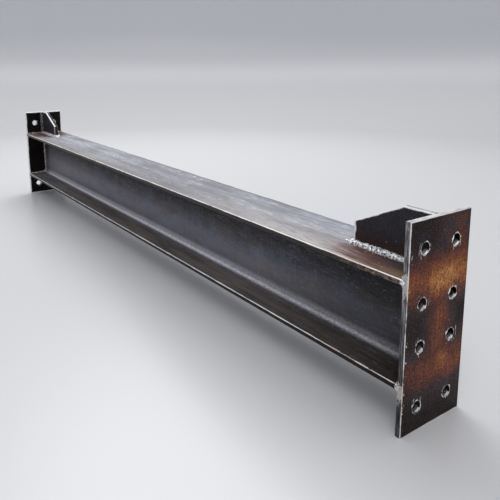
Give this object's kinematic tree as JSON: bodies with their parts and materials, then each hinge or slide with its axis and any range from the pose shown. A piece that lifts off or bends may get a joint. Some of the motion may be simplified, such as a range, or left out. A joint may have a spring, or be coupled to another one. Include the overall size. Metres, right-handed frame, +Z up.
{
  "type": "steel i-beam",
  "caption": "Rolled steel I-beam welded between drilled end plates, with a gusset on the top flange at each end, for bolting in between columns or frames.",
  "frame": {"origin": "on the floor, under the middle of the beam, midway between the end plates and between the flange tips", "axes": "+X along the beam to the end plate with the inner bolt rows, +Y across the flanges to the back, +Z up"},
  "size_m": [2.264, 0.171, 0.39],
  "materials": {
    "mill_scale_steel": "hot-rolled steel with blue-grey mill scale and a little rust",
    "rusted_plate_steel": "hot-rolled plate with dark brown rust and worn bright edges",
    "black_plate_steel": "hot-rolled plate with black mill scale and ground edges",
    "weld_metal": "bright rippled fillet weld"
  },
  "bodies": {
    "root": {"i_beam": "mill_scale_steel", "end_plate_right": "rusted_plate_steel", "gusset_right": "black_plate_steel", "end_plate_left": "rusted_plate_steel", "gusset_left": "black_plate_steel", "weld_gusset_foot_right": "weld_metal", "weld_flange_bottom_right": "weld_metal", "weld_flange_top_front_right": "weld_metal", "weld_gusset_front_right": "weld_metal", "weld_web_front_right": "weld_metal", "weld_tip_top_front_right": "weld_metal", "weld_tip_bottom_front_right": "weld_metal", "weld_flange_top_back_right": "weld_metal", "weld_gusset_back_right": "weld_metal", "weld_web_back_right": "weld_metal", "weld_tip_top_back_right": "weld_metal", "weld_tip_bottom_back_right": "weld_metal", "weld_gusset_foot_left": "weld_metal", "weld_flange_bottom_left": "weld_metal", "weld_flange_top_front_left": "weld_metal", "weld_gusset_front_left": "weld_metal", "weld_web_front_left": "weld_metal", "weld_tip_top_front_left": "weld_metal", "weld_tip_bottom_front_left": "weld_metal", "weld_flange_top_back_left": "weld_metal", "weld_gusset_back_left": "weld_metal", "weld_web_back_left": "weld_metal", "weld_tip_top_back_left": "weld_metal", "weld_tip_bottom_back_left": "weld_metal"}
  },
  "joints": []
}
